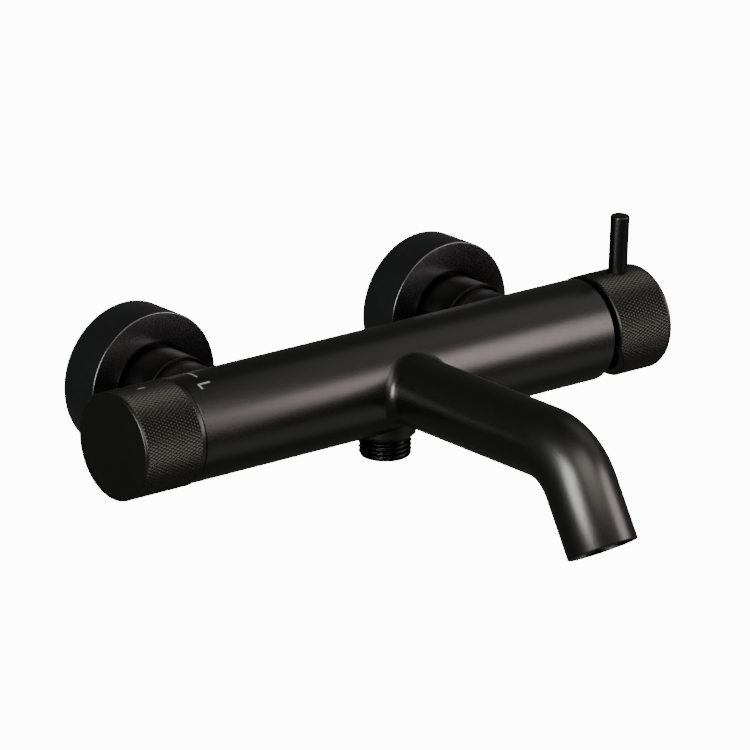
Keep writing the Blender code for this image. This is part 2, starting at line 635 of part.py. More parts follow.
def make_spring(name, centre, top, bottom, steps_per_turn=12, sides=5):
    """A coil of round wire, from TOP to BOTTOM below CENTRE."""
    shape = bmesh.new()
    rings = []
    steps = SPRING_TURNS * steps_per_turn
    for k in range(steps + 1):
        turn = k * tau / steps_per_turn
        outward = Vector((cos(turn), sin(turn), 0))
        middle = SPRING_RADIUS * outward - Z * (top + (bottom - top) * k / steps)
        angles = [j * tau / sides for j in range(sides)]
        rings.append([middle + SPRING_WIRE * (cos(a) * outward + sin(a) * Z) for a in angles])
    stacked_rings(shape, rings, closed=False)
    return finished(name, shape, centre, "steel", None)


# --- mixing cartridge ---------------------------------------------------------------------------------
def make_cartridge_base(axis):
    """What stays still: base with three seals, fixed ceramic disc, housing and clamp nut."""
    ports = (("hot", HOT_ANGLE), ("cold", COLD_ANGLE), ("mixed", MIXED_ANGLE))
    base = turned("cartridge_base", disc(BASE_START, BASE_START + BASE_THICKNESS, CARTRIDGE_RADIUS),
                  axis, X, "acetal")
    fixed = turned("cartridge_fixed_disc", disc(DISC_START, DISC_START + DISC_THICKNESS, FIXED_DISC),
                   axis, X, "ceramic")
    seal_depth = 2 * SEAL_CORD + 2 * FIT
    for name, angle in ports:
        start = port(0, PORT_CIRCLE, angle)
        cut(base, turned(f"{name}_seat_tool", [
            (POCKET_FLOOR, 0), (POCKET_FLOOR, PORT_SEAL + SEAL_CORD + FIT),
            (BASE_START + seal_depth, PORT_SEAL + SEAL_CORD + FIT), (BASE_START + seal_depth, PORT_RADIUS),
            (DISC_START, PORT_RADIUS), (DISC_START, 0),
        ], start, X, sides=12))
        cut(fixed, rod(f"{name}_port_tool", port(DISC_START - FIT, PORT_CIRCLE, angle),
                       port(MOVING_START, PORT_CIRCLE, angle), PORT_RADIUS, sides=12))
        o_ring(f"cartridge_seal_{name}", start + X * (BASE_START + seal_depth / 2), X, PORT_SEAL, SEAL_CORD,
               sides=12)
    turned("cartridge_housing", [
        (DISC_START, HOUSING_BORE), (DISC_START, CARTRIDGE_RADIUS), (HOUSING_END, CARTRIDGE_RADIUS),
        (HOUSING_END, ROTOR_NECK + RUN), (HOUSING_TOP_START, ROTOR_NECK + RUN),
        (HOUSING_TOP_START, HOUSING_BORE),
    ], axis, X, "acetal")
    clamp_start = HOUSING_END + FIT
    clamp_end = clamp_start + CLAMP_LENGTH
    clamp = turned("clamp_nut", sleeve(clamp_start, clamp_end, CLAMP_HOLE, CLAMP_RADIUS), axis, X, "brass")
    half = SPANNER_SLOT / 2
    for name, across, reach in (("level", Y, Z), ("upright", Z, Y)):
        corner = across * (CLAMP_RADIUS + FIT) + reach * half
        low, high = at(clamp_end - half) - corner, at(clamp_end + FIT) + corner
        cut(clamp, block(f"spanner_{name}_tool", low, high))


def make_carriage(turning):
    """The moving ceramic disc and its carrier, which slide across the fixed disc as the lever tilts."""
    rest = at(0, 0, -CARRIAGE_TRAVEL / 2)
    pocket_floor = MOVING_START + DISC_POCKET_DEPTH
    moving = turned("cartridge_moving_disc", disc(MOVING_START, MOVING_START + DISC_THICKNESS, MOVING_DISC),
                    rest, X, "ceramic", parent=turning)
    cut(moving, turned("disc_pocket_tool", disc(DISC_START, pocket_floor, DISC_POCKET), rest, X,
                       parent=turning))
    cut(moving, turned("pocket_tail_tool", disc(DISC_START, pocket_floor, POCKET_TAIL),
                       rest - Z * POCKET_TAIL_DROP, X, sides=16, parent=turning))
    carrier = turned("disc_carrier", disc(CARRIER_START, CARRIER_START + DISC_THICKNESS, MOVING_DISC),
                     rest, X, "acetal", parent=turning)
    cut(carrier, turned("ball_socket_tool", disc(CARRIER_START - FIT, ROTOR_START, STEM_BALL + FIT),
                        at(0), X, sides=16, parent=turning))


def make_rotor(turning):
    """The lever guide that turns in the housing, with its seal and the pin that the stem tilts on."""
    rotor_end = ROTOR_START + ROTOR_LENGTH
    groove = HOUSING_TOP_START + RUN
    groove_end = groove + 2 * SEAL_CORD + 2 * RUN
    groove_floor = ROTOR_NECK - 2 * SEAL_CORD
    rotor = turned("lever_rotor", [
        (ROTOR_START, 0), (ROTOR_START, HOUSING_BORE - RUN), (rotor_end, HOUSING_BORE - RUN),
        (rotor_end, ROTOR_NECK), (groove, ROTOR_NECK), (groove, groove_floor),
        (groove_end, groove_floor), (groove_end, ROTOR_NECK), (ROTOR_END, ROTOR_NECK), (ROTOR_END, 0),
    ], at(0), X, "acetal", parent=turning)
    inner_swing = (PIVOT_X - ROTOR_START) * sin(LEVER_OPEN) + LEVER_SWING
    outer_swing = (ROTOR_END - PIVOT_X) * sin(LEVER_OPEN) + LEVER_SWING
    cut(rotor, block("inner_slot_tool", at(ROTOR_START - FIT, -STEM_SLOT, -STEM_SLOT),
                     at(PIVOT_X + STEM_SLOT, STEM_SLOT, inner_swing), parent=turning))
    cut(rotor, block("outer_slot_tool", at(PIVOT_X - STEM_SLOT, -STEM_SLOT, -outer_swing),
                     at(ROTOR_END + FIT, STEM_SLOT, STEM_SLOT), parent=turning))
    cut(rotor, rod("rotor_pin_hole_tool", at(PIVOT_X, -HOUSING_BORE), at(PIVOT_X, HOUSING_BORE),
                   PIVOT_PIN + FIT, sides=12, parent=turning))
    pin_half = HOUSING_BORE - 3 * RUN
    rod("pivot_pin", at(PIVOT_X, -pin_half), at(PIVOT_X, pin_half), PIVOT_PIN, "steel", sides=12,
        parent=turning)
    o_ring("rotor_o_ring", at((groove + groove_end) / 2), X, ROTOR_NECK - SEAL_CORD + FIT / 3,
           SEAL_CORD, parent=turning)


def make_lever(tilting):
    """The stem, the mixer knob on it, the pin lever and the grub screw: they tilt together."""
    half = STEM_SIDE / 2
    stem = block("lever_stem", at(STEM_SHOULDER, -half, -half), at(STEM_RIGHT, half, half), "steel", tilting)
    steps = 6
    ball = [(STEM_BALL_X - STEM_BALL * cos(k * pi / steps), STEM_BALL * sin(k * pi / steps))
            for k in range(steps)]
    neck_start = STEM_BALL_X + STEM_BALL * cos(asin(STEM_NECK / STEM_BALL))
    ball = ball[:-1] + [(neck_start, STEM_NECK), (STEM_SHOULDER + half / 2, STEM_NECK),
                        (STEM_SHOULDER + half / 2, 0)]
    fuse(stem, turned("stem_ball_tool", ball, at(0), X, sides=12, parent=tilting))
    cut(stem, rod("stem_pin_hole_tool", at(PIVOT_X, -STEM_SIDE), at(PIVOT_X, STEM_SIDE), PIVOT_PIN + FIT,
                  sides=12, parent=tilting))

    end_inside = MIXER_KNOB_RIGHT - KNOB_END
    inner = KNOB_RADIUS - KNOB_WALL
    knob = turned("mixer_knob", [
        (MIXER_KNOB_RIGHT, 0), (MIXER_KNOB_RIGHT, KNOB_RADIUS - KNOB_BEVEL),
        (MIXER_KNOB_RIGHT - KNOB_BEVEL, KNOB_RADIUS), (MIXER_KNOB_LEFT + EDGE_BREAK, KNOB_RADIUS),
        (MIXER_KNOB_LEFT, KNOB_RADIUS - EDGE_BREAK), (MIXER_KNOB_LEFT, inner), (end_inside, inner),
        (end_inside, MIXER_BOSS), (MIXER_BOSS_LEFT, MIXER_BOSS), (MIXER_BOSS_LEFT, 0),
    ], at(0), X, "knurled", sides=40, parent=tilting)
    cut(knob, relief_tool(tilting))
    socket = half + FIT
    cut(knob, block("stem_socket_tool", at(MIXER_BOSS_LEFT - FIT, -socket, -socket),
                    at(STEM_RIGHT + FIT, socket, socket), parent=tilting))
    cut(knob, turned("lever_seat_tool", [
        (inner - KNOB_WALL, 0), (inner - KNOB_WALL, LEVER_STUD + FIT), (LEVER_SEAT, LEVER_STUD + FIT),
        (LEVER_SEAT, LEVER_RADIUS + FIT), (KNOB_RADIUS + KNOB_WALL, LEVER_RADIUS + FIT),
        (KNOB_RADIUS + KNOB_WALL, 0),
    ], at(LEVER_X), Z, parent=tilting))
    cut(knob, rod("mixer_grub_tool", at(MIXER_GRUB_X, 0, -half),
                  at(MIXER_GRUB_X, 0, -KNOB_RADIUS - KNOB_WALL), GRUB_RADIUS + FIT, sides=12,
                  parent=tilting))

    lever_foot = LEVER_SEAT + FIT
    turned("mixer_pin_lever", [
        (lever_foot - LEVER_STUD_LENGTH, 0), (lever_foot - LEVER_STUD_LENGTH, LEVER_STUD),
        (lever_foot, LEVER_STUD), (lever_foot, LEVER_RADIUS), (LEVER_TOP - EDGE_BREAK, LEVER_RADIUS),
        (LEVER_TOP, LEVER_RADIUS - EDGE_BREAK), (LEVER_TOP, 0),
    ], at(LEVER_X), Z, "gunmetal", parent=tilting)
    make_grub_screw("mixer_grub_screw", MIXER_GRUB_X, half + FIT, MIXER_GRUB_LENGTH, tilting)


def relief_tool(tilting):
    """A wedge that slopes the knob's lower rim back, so that it can tilt towards the body."""
    slope = tan(RELIEF_ANGLE)
    above, below, left = 0.003, KNOB_RADIUS + KNOB_WALL, MIXER_KNOB_LEFT - 0.006
    def edge(drop):
        return (MIXER_KNOB_LEFT + slope * drop, -RELIEF_START - drop)
    outline = [edge(-above), edge(below), (left, edge(below)[1]), (left, edge(-above)[1])]
    return prism("relief_tool", outline, KNOB_RADIUS + KNOB_WALL, at(0), parent=tilting)


def make_grub_screw(name, along, start, length, parent):
    """A headless screw that points at the axis from below, with a hexagon socket in its outer end."""
    end = start + length
    turned(name, [
        (start, 0), (start, GRUB_RADIUS), (end, GRUB_RADIUS), (end, GRUB_SOCKET),
        (end - GRUB_SOCKET_DEPTH, GRUB_SOCKET), (end - GRUB_SOCKET_DEPTH, 0),
    ], at(along), -Z, "steel", sides=12, parent=parent)


# --- diverter -----------------------------------------------------------------------------------------
def make_diverter(axis, turning):
    """The quarter-turn ceramic diverter in the body's other end, and its knob."""
    port_angles = (0, pi / 2, -pi / 2)
    gasket_disc = disc(CHAMBER_SEAT - DIVERTER_GASKET, CHAMBER_SEAT, CHAMBER_RADIUS - 2 * FIT)
    gasket = turned("diverter_gasket", gasket_disc, axis, X, "rubber")
    fixed_disc = disc(DIVERTER_FIXED - DISC_THICKNESS, DIVERTER_FIXED, DIVERTER_DISC)
    fixed = turned("diverter_fixed_disc", fixed_disc, axis, X, "ceramic")
    for number, angle in enumerate(port_angles):
        start = port(SEAT_X, DIVERTER_CIRCLE, angle)
        end = port(DIVERTER_MOVING, DIVERTER_CIRCLE, angle)
        tool = rod(f"diverter_port_tool_{number}", start, end, DIVERTER_PORT, sides=12)
        cut(gasket, tool)
        cut(fixed, tool)
    moving = turned("diverter_rotating_disc",
                    disc(DIVERTER_MOVING - DISC_THICKNESS, DIVERTER_MOVING, DIVERTER_DISC),
                    axis, X, "ceramic", parent=turning)
    for step in range(KIDNEY_STEPS):
        angle = pi / 2 * step / (KIDNEY_STEPS - 1)
        cut(moving, rod(f"kidney_tool_{step}", port(DIVERTER_MOVING + FIT, DIVERTER_CIRCLE, angle),
                        port(DIVERTER_MOVING - DISC_THICKNESS / 2, DIVERTER_CIRCLE, angle), KIDNEY_RADIUS,
                        sides=10, parent=turning))

    barrel = CHAMBER_RADIUS - FIT
    groove_floor = barrel - 2 * BUSH_SEAL_CORD - FIT
    bush_bore = SPINDLE_RADIUS + FIT
    groove_right = BUSH_GROOVE + BUSH_GROOVE_WIDTH
    step = CHAMBER_LEFT - FIT
    bush = turned("diverter_bush", [
        (DIVERTER_FIXED, DIVERTER_DISC + FIT), (DIVERTER_FIXED, barrel), (groove_right, barrel),
        (groove_right, groove_floor), (BUSH_GROOVE, groove_floor), (BUSH_GROOVE, barrel), (step, barrel),
        (step, BUSH_THREAD), (BUSH_END, BUSH_THREAD), (BUSH_END, bush_bore), (BUSH_SHOULDER, bush_bore),
        (BUSH_SHOULDER, DIVERTER_DISC + FIT),
    ], axis, X, "brass")
    hexagon = sleeve(BUSH_END + EDGE_BREAK, BUSH_HEX_START, BUSH_THREAD - RUN, BUSH_HEX)
    fuse(bush, turned("bush_hex_tool", hexagon, axis, X, sides=6))
    o_ring("bush_o_ring", at((BUSH_GROOVE + groove_right) / 2), X, groove_floor + BUSH_SEAL_CORD + FIT / 2,
           BUSH_SEAL_CORD)

    seal_half = SEAL_CORD + RUN
    seal_floor = SPINDLE_RADIUS - SPINDLE_GROOVE
    clip_end = CLIP_GROOVE_X - CLIP_GROOVE_WIDTH
    turned("diverter_spindle", [
        (SPINDLE_START, 0), (SPINDLE_START, DIVERTER_DISC), (SPINDLE_START - SPINDLE_FLANGE, DIVERTER_DISC),
        (SPINDLE_START - SPINDLE_FLANGE, SPINDLE_RADIUS), (SPINDLE_SEAL_X + seal_half, SPINDLE_RADIUS),
        (SPINDLE_SEAL_X + seal_half, seal_floor), (SPINDLE_SEAL_X - seal_half, seal_floor),
        (SPINDLE_SEAL_X - seal_half, SPINDLE_RADIUS), (CLIP_GROOVE_X, SPINDLE_RADIUS),
        (CLIP_GROOVE_X, SPLINE_RADIUS - RUN), (clip_end, SPLINE_RADIUS - RUN), (clip_end, SPLINE_RADIUS),
        (SPINDLE_LEFT, SPLINE_RADIUS), (SPINDLE_LEFT, 0),
    ], axis, X, "brass", parent=turning)
    o_ring("spindle_o_ring", at(SPINDLE_SEAL_X), X, seal_floor + SEAL_CORD + FIT / 2, SEAL_CORD,
           parent=turning)
    clip = turned("spindle_clip", sleeve(clip_end + FIT, CLIP_GROOVE_X - FIT, SPLINE_RADIUS - FIT / 3,
                                         CLIP_RADIUS), axis, X, "steel", parent=turning)
    cut(clip, block("clip_gap_tool", at(clip_end, -CLIP_GAP / 2, -CLIP_RADIUS - FIT),
                    at(CLIP_GROOVE_X, CLIP_GAP / 2, 0), parent=turning))
    adapter_left = SPINDLE_LEFT - FIT
    turned("spline_adapter", sleeve(adapter_left, DIVERTER_BOSS_RIGHT, SPLINE_RADIUS + FIT, ADAPTER_RADIUS),
           axis, X, "acetal", parent=turning)

    inner = DIVERTER_KNOB_RADIUS - KNOB_WALL
    end_inside = DIVERTER_KNOB_LEFT + KNOB_END
    bore = ADAPTER_RADIUS + FIT
    bore_end = adapter_left - FIT
    knob = turned("diverter_knob", [
        (DIVERTER_KNOB_LEFT, 0), (DIVERTER_KNOB_LEFT, DIVERTER_KNOB_RADIUS - KNOB_BEVEL),
        (DIVERTER_KNOB_LEFT + KNOB_BEVEL, DIVERTER_KNOB_RADIUS),
        (DIVERTER_KNOB_RIGHT - EDGE_BREAK, DIVERTER_KNOB_RADIUS),
        (DIVERTER_KNOB_RIGHT, DIVERTER_KNOB_RADIUS - EDGE_BREAK), (DIVERTER_KNOB_RIGHT, inner),
        (end_inside, inner), (end_inside, DIVERTER_BOSS), (DIVERTER_BOSS_RIGHT, DIVERTER_BOSS),
        (DIVERTER_BOSS_RIGHT, bore), (bore_end, bore), (bore_end, 0),
    ], axis, X, "knurled", sides=40, parent=turning)
    cut(knob, rod("diverter_grub_tool", at(DIVERTER_GRUB_X, 0, -ADAPTER_RADIUS),
                  at(DIVERTER_GRUB_X, 0, -KNOB_RADIUS - KNOB_WALL), GRUB_RADIUS + FIT, sides=12,
                  parent=turning))
    make_grub_screw("diverter_grub_screw", DIVERTER_GRUB_X, ADAPTER_RADIUS + FIT, DIVERTER_GRUB_LENGTH,
                    turning)


def main():
    for piece in list(bpy.context.scene.objects):
        bpy.data.objects.remove(piece)
    axis = at(0)
    make_body()
    for side, sign in (("left", -1), ("right", 1)):
        make_union(side, sign)
    make_spout()
    make_shower_outlet()
    make_cartridge_base(axis)
    mixer_turning = pivot("mixer_turning_axis", at(PIVOT_X), MIXER_TURN)
    make_carriage(mixer_turning)
    make_rotor(mixer_turning)
    make_lever(pivot("mixer_tilting_axis", at(PIVOT_X), parent=mixer_turning))
    make_diverter(axis, pivot("diverter_turning_axis", at(SEAT_X)))


main()
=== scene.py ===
"""Looks of the wall mounted bath mixer: satin dark metal, knurled knobs, threads, and a studio round it.

Lengths are in metres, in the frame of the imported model: X along the body, Y into the wall, Z up.
Every new piece is a grid of points worked out with numpy. A grid's rows follow a profile or a path and its
columns go round it, so its columns always close on themselves.
"""
import json
from math import atan2, cos, radians, sin, tan, tau

import bmesh
import bpy
import numpy as np
from mathutils import Matrix, Vector


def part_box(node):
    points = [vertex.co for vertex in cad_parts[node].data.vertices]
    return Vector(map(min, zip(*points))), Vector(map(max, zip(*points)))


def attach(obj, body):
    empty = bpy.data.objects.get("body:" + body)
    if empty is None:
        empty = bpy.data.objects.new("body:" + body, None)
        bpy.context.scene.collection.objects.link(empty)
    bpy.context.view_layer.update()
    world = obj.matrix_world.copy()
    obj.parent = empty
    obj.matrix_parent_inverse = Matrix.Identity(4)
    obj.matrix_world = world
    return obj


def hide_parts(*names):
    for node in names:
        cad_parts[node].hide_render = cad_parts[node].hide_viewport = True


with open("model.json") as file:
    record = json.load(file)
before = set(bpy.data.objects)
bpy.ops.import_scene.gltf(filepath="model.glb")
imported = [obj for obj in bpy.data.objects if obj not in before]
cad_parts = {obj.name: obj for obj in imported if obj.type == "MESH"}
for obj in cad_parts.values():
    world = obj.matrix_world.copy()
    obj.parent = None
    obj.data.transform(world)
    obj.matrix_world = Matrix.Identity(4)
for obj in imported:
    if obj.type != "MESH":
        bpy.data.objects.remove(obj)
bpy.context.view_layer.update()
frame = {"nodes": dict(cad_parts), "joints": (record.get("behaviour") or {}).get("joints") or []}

# --- places taken from the frame ----------------------------------------------------------------------
joints = {joint["name"]: joint for joint in frame["joints"]}
AXIS = np.array(joints["mixer_turn"]["pos_m"])
AXIS[0] = 0.0
TILT_AXIS = joints["mixer_tilt"]["axis"]
MIXER_TURN = atan2(TILT_AXIS[2], TILT_AXIS[1])
body_low, body_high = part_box("body_casting")
BODY_RADIUS = body_high.z


def middle_x(name):
    """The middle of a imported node's box along X."""
    low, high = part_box(name)
    return (low.x + high.x) / 2


INLETS = {side: middle_x(f"rosette_{side}") for side in ("left", "right")}
OUTLET = AXIS + np.array([middle_x("shower_nipple"), 0, 0])

# --- sizes of the visible shapes ----------------------------------------------------------------------
EDGE = 0.0004               # rounding of a turned edge
BOSS_START = 0.0140         # from the body's axis, inside its wall, to where the necks and the collar start
NECK_RADIUS = 0.0148
NECK_BORE = 0.0093
NECK_BLEND = 0.0006
SPOUT_RADIUS = 0.0141
SPOUT_WALL = 0.0015
SPOUT_STRAIGHT = 0.0965     # from the body's axis to the bend
SPOUT_BEND = 0.0252
SPOUT_DROP = radians(59)
SPOUT_NOSE = 0.0254
SPOUT_START = 0.0145        # from the body's axis
SPOUT_BLEND = 0.0040
BLEND_SINK = 0.00003        # a blend's edge lies this far under the body's surface
COLLAR_RADIUS = 0.0122
COLLAR_BORE = 0.0099
COLLAR_BOTTOM = 0.0216
COLLAR_CHAMFER = 0.0015
THREAD_RADIUS = 0.01048
THREAD_PITCH = 0.001814     # G1/2, 14 threads to the inch
THREAD_DEPTH = 0.00116
NUT_HOLE = 0.0107           # round the neck's tail
NUT_BORE = 0.0135
NUT_END = 0.0024            # thickness of the end that the tail passes through
UNION_THREAD = 0.0132       # G3/4, with the same pitch
UNION_BORE = 0.0064
UNION_BORE_DEPTH = 0.0050   # past the collar's shoulder
UNION_COLLAR = 0.0176
UNION_COLLAR_WIDTH = 0.0100
UNION_SHOULDER = 0.0506     # from the body's axis to the collar
WALL_BORE = 0.0074
WALL_THREAD_SINK = 0.0005   # overlap of the wall thread and the collar
ECCENTRICITY = 0.0060
ROSETTE_WALL = 0.0022
ROSETTE_BORE = 0.0179
ROSETTE_SLEEVE = 0.0115     # from the cover's face to the end of its sleeve
MIXER_KNOB_RADIUS = 0.0214
KNOB_WALL = 0.0030
KNOB_END = 0.0040
KNURL_COUNT = 92            # diamonds round a knob
KNURL_STEPS = 6             # columns to a diamond
KNURL_LAND = 0.8            # steps, half the flat on a diamond
KNURL_ANGLE = radians(30)   # between the grooves and the axis
KNURL_DEPTH = 0.00032
RELIEF_START = 0.0018       # below the body's axis, where the mixer knob's rim starts to be cut back
RELIEF_SLOPE = tan(radians(28.4))
PIN_START = 0.0178          # from the body's axis, just under the mixer knob's wall
MARK_PROUD = 0.00003        # height of a mark over the surface
GLOSS_PATCH = 0.004         # size of the slow changes in a material's gloss

BACKDROP = 12.0             # radiance of the backdrop as the camera sees it
MATT_GLOW = 0.5             # and as matt surfaces see it
MIRRORED_GLOW = 0.07        # and as reflections show it

X, Y, Z = np.eye(3)


# --- grids --------------------------------------------------------------------------------------------
def rounded(corners, radius=EDGE, steps=5):
    """An outline of (along, out) corners with each inner corner replaced by an arc.

    The arc touches both sides of the corner at RADIUS times the tangent of half the turn from it, and never
    further than 45% of the shorter side. A corner given as (along, out, r) has its own radius.
    """
    points = [np.array(corner[:2], float) for corner in corners]
    outline = [points[0]]
    for before, here, after, corner in zip(points, points[1:], points[2:], corners[1:]):
        into, out = here - before, after - here
        lengths = np.hypot(*into), np.hypot(*out)
        into, out = into / lengths[0], out / lengths[1]
        turn = atan2(into[0] * out[1] - into[1] * out[0], into @ out)
        wanted = (corner[2] if len(corner) > 2 else radius) * tan(abs(turn) / 2)
        cut = min(wanted, 0.45 * min(lengths))
        if cut < 1e-6 or abs(turn) < 0.02:
            outline.append(here)
            continue
        real = cut / tan(abs(turn) / 2)
        start = here - into * cut
        inward = np.array([-into[1], into[0]]) * np.sign(turn)
        for k in range(steps + 1):
            part = abs(turn) * k / steps
            outline.append(start + into * real * sin(part) + inward * real * (1 - cos(part)))
    outline.append(points[-1])
    return np.array(outline)


def frame_of(axis):
    """Two directions square to AXIS and to each other."""
    side = np.cross(axis, X if abs(axis[0]) < 0.9 else Z)
    side /= np.linalg.norm(side)
    return side, np.cross(axis, side)


def lathe(outline, centre, axis, columns=128, growth=None):
    """An outline turned about AXIS: point = centre + along * axis + out * (cos t, sin t) across it.

    GROWTH is a grid of (row, column) lengths that is added to the radius.
    """
    turns = np.arange(columns) * tau / columns
    side, other = frame_of(axis)
    around = np.cos(turns)[:, None] * side + np.sin(turns)[:, None] * other
    radius = np.repeat(outline[:, 1:2], columns, 1)
    if growth is not None:
        radius = radius + growth
    return centre + outline[:, 0][:, None, None] * axis + radius[..., None] * around


def carried(section, path, pitches, centre, columns=128):
    """A round tube in the plane of the spout: rings of the section's radius square to the path.

    A station at (back, up) pitched down by p has its ring along X and along (-sin p, cos p) in (Y, Z).
    """
    turns = np.arange(columns) * tau / columns
    upright = np.stack([0 * pitches, -np.sin(pitches), np.cos(pitches)], -1)
    middle = np.stack([0 * pitches, path[:, 0], path[:, 1]], -1)
    ring = np.cos(turns)[None, :, None] * X + np.sin(turns)[None, :, None] * upright[:, None]
    return centre + middle[:, None] + section[:, None, None] * ring


def blend_skirt(radius, blend, centre, out, columns=192, steps=12):
    """The surface a ball of radius BLEND leaves as it rolls round a boss on the body, closed underneath.

    With the boss along OUT and t round it, the ball's centre is (radius + blend) from the boss's axis and
    (body radius + blend) from the body's axis. The surface is the short arc on the ball between the point
    nearest to the boss's axis and the one nearest to the body's.
    """
    t = np.arange(columns) * tau / columns
    level = np.cross(out, X)
    reach = BODY_RADIUS + blend - BLEND_SINK
    across = (radius + blend) * np.sin(t)
    height = np.sqrt(reach ** 2 - across ** 2)
    ball = (radius + blend) * np.cos(t)[:, None] * X + across[:, None] * level + height[:, None] * out
    to_boss = -np.cos(t)[:, None] * X - np.sin(t)[:, None] * level
    to_body = -(across[:, None] * level + height[:, None] * out) / reach
    opening = np.arccos(np.sum(to_boss * to_body, -1, keepdims=True))
    rows = []
    for part in np.linspace(0, 1, steps + 1):
        toward = (np.sin((1 - part) * opening) * to_boss + np.sin(part * opening) * to_body) / np.sin(opening)
        rows.append(ball + blend * toward)
    core = (radius - 0.002) * -to_boss
    core_out = np.sum(rows[0] * out, -1, keepdims=True)
    deep = np.sqrt((BODY_RADIUS - 0.003) ** 2 - np.sum(core * level, -1, keepdims=True) ** 2)
    rows = [core + core_out * out] + rows + [core + deep * out]
    return centre + np.array(rows)


def turned_mixer(points):
    """Points of the mixer knob, given upright, turned about the body's axis with the lever."""
    y, z = points[..., 1] - AXIS[1], points[..., 2]
    turned = points.copy()
    turned[..., 1] = AXIS[1] + y * cos(MIXER_TURN) - z * sin(MIXER_TURN)
    turned[..., 2] = y * sin(MIXER_TURN) + z * cos(MIXER_TURN)
    return turned


# --- from grid to piece -------------------------------------------------------------------------------
def piece(name, grid, body, slot, material, ring=False, leaning=None, crisp=38, replaces=()):
    """A mesh over GRID that rides on BODY. RING joins the last row to the first.

    LEANING, one truth value to a cell, cuts the cells into triangles: along the diagonal from the first
    corner where it is true and along the other one elsewhere. Edges turned by over CRISP degrees stay sharp.
    """
    rows, columns = grid.shape[:2]
    i = np.arange(rows if ring else rows - 1)[:, None]
    j = np.arange(columns)[None, :]
    after_i, after_j = (i + 1) % rows, (j + 1) % columns
    corners = [i * columns + j, i * columns + after_j, after_i * columns + after_j, after_i * columns + j]
    a, b, c, d = (corner.ravel() for corner in corners)
    if leaning is not None:
        lean = leaning.reshape(-1, 1)
        first = np.where(lean, np.stack([a, b, c], -1), np.stack([a, b, d], -1))
        second = np.where(lean, np.stack([a, c, d], -1), np.stack([b, c, d], -1))
        faces = np.concatenate([first, second])
    else:
        faces = np.stack([a, b, c, d], -1)
    mesh = bpy.data.meshes.new(name)
    mesh.from_pydata(grid.reshape(-1, 3), [], faces.tolist())
    shape = bmesh.new()
    shape.from_mesh(mesh)
    bmesh.ops.remove_doubles(shape, verts=shape.verts, dist=1e-6)
    bmesh.ops.dissolve_degenerate(shape, edges=shape.edges, dist=1e-7)
    bmesh.ops.recalc_face_normals(shape, faces=shape.faces)
    shape.to_mesh(mesh)
    shape.free()
    mesh.shade_smooth()
    mesh.set_sharp_from_angle(angle=radians(crisp))
    thing = bpy.data.objects.new(name, mesh)
    bpy.context.scene.collection.objects.link(thing)
    mesh.materials.append(material)
    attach(thing, body)
    for covered in replaces:
        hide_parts(covered)
    return thing


# --- materials ----------------------------------------------------------------------------------------
def linear(code):
    """A linear RGBA colour from an sRGB hex code."""
    parts = [int(code[k:k + 2], 16) / 255 for k in (1, 3, 5)]
    return (*[p / 12.92 if p <= 0.04045 else ((p + 0.055) / 1.055) ** 2.4 for p in parts], 1)


def node(tree, kind, settings=(), **links):
    """Add a shader node, set its attributes and sockets, and link outputs into its inputs."""
    new = tree.nodes.new(kind)
    for key, value in dict(settings).items():
        if hasattr(new, key):
            setattr(new, key, value)
        else:
            new.inputs[key].default_value = value
    for socket, source in links.items():
        tree.links.new(source, new.inputs[socket.replace("_", " ")])
    return new


def surface(name, colour, metallic, roughness, grain, depth, spread=0.0):
    """A Principled material with a fine grain in its surface and slow changes in its gloss.

    GRAIN is the size of the grain and DEPTH its height, in metres; SPREAD is how far the roughness strays.
    """
    material = bpy.data.materials.new(name)
    material.use_nodes = True
    tree = material.node_tree
    shader = tree.nodes["Principled BSDF"]
    shader.inputs["Base Color"].default_value = linear(colour)
    shader.inputs["Metallic"].default_value = metallic
    shader.inputs["Roughness"].default_value = roughness
    place = node(tree, "ShaderNodeTexCoord").outputs["Object"]
    fine = node(tree, "ShaderNodeTexNoise", {"Scale": 1 / grain, "Detail": 2.0, "Roughness": 0.6},
                Vector=place)
    bump = node(tree, "ShaderNodeBump", {"Strength": 1.0, "Distance": depth}, Height=fine.outputs["Fac"])
    tree.links.new(bump.outputs["Normal"], shader.inputs["Normal"])
    if spread:
        slow = node(tree, "ShaderNodeTexNoise", {"Scale": 1 / GLOSS_PATCH, "Detail": 3.0}, Vector=place)
        gloss = node(tree, "ShaderNodeMapRange", {"To Min": roughness - spread, "To Max": roughness + spread},
                     Value=slow.outputs["Fac"])
        tree.links.new(gloss.outputs["Result"], shader.inputs["Roughness"])
    return material


# Brass with a dark vapour-deposited coat over bead blasting: soft wide highlights, warm grey in the light.
SATIN_GUNMETAL = surface("satin_gunmetal_plating", "#545453", 1.0, 0.34, 0.00025, 0.000003, 0.03)
# The same coat over knurling: cutting leaves the diamonds' sides a little rougher.
KNURLED_GUNMETAL = surface("knurled_gunmetal_plating", "#50514d", 1.0, 0.36, 0.0002, 0.000004, 0.03)
# The same coat over a polished rod: a narrower streak.
ROD_GUNMETAL = surface("polished_rod_gunmetal", "#4a4a49", 1.0, 0.30, 0.0003, 0.000002, 0.02)
# A cut thread under the coat: the coat's colour darkened as painted shade, with glints on its crests.
THREAD_GUNMETAL_PAINTED_SHADE = surface("cut_thread_gunmetal", "#3c3b3a", 1.0, 0.34, 0.0002, 0.000004, 0.04)
# Laser marking through the dark coat: matt and pale.
LASER_MARK = surface("laser_mark", "#8d8d92", 0.0, 0.6, 0.0002, 0.000004)
# Machined brass that no one sees: yellow, with turning marks.
TURNED_BRASS = surface("turned_brass", "#b5924c", 1.0, 0.30, 0.0004, 0.000004, 0.06)
# Brass under a black oxide: hardly reflects.
BLACKENED_BRASS = surface("blackened_brass", "#2a2826", 1.0, 0.45, 0.0003, 0.000004, 0.05)
STAINLESS_STEEL = surface("stainless_steel", "#b4b4b2", 1.0, 0.28, 0.0003, 0.000003, 0.05)
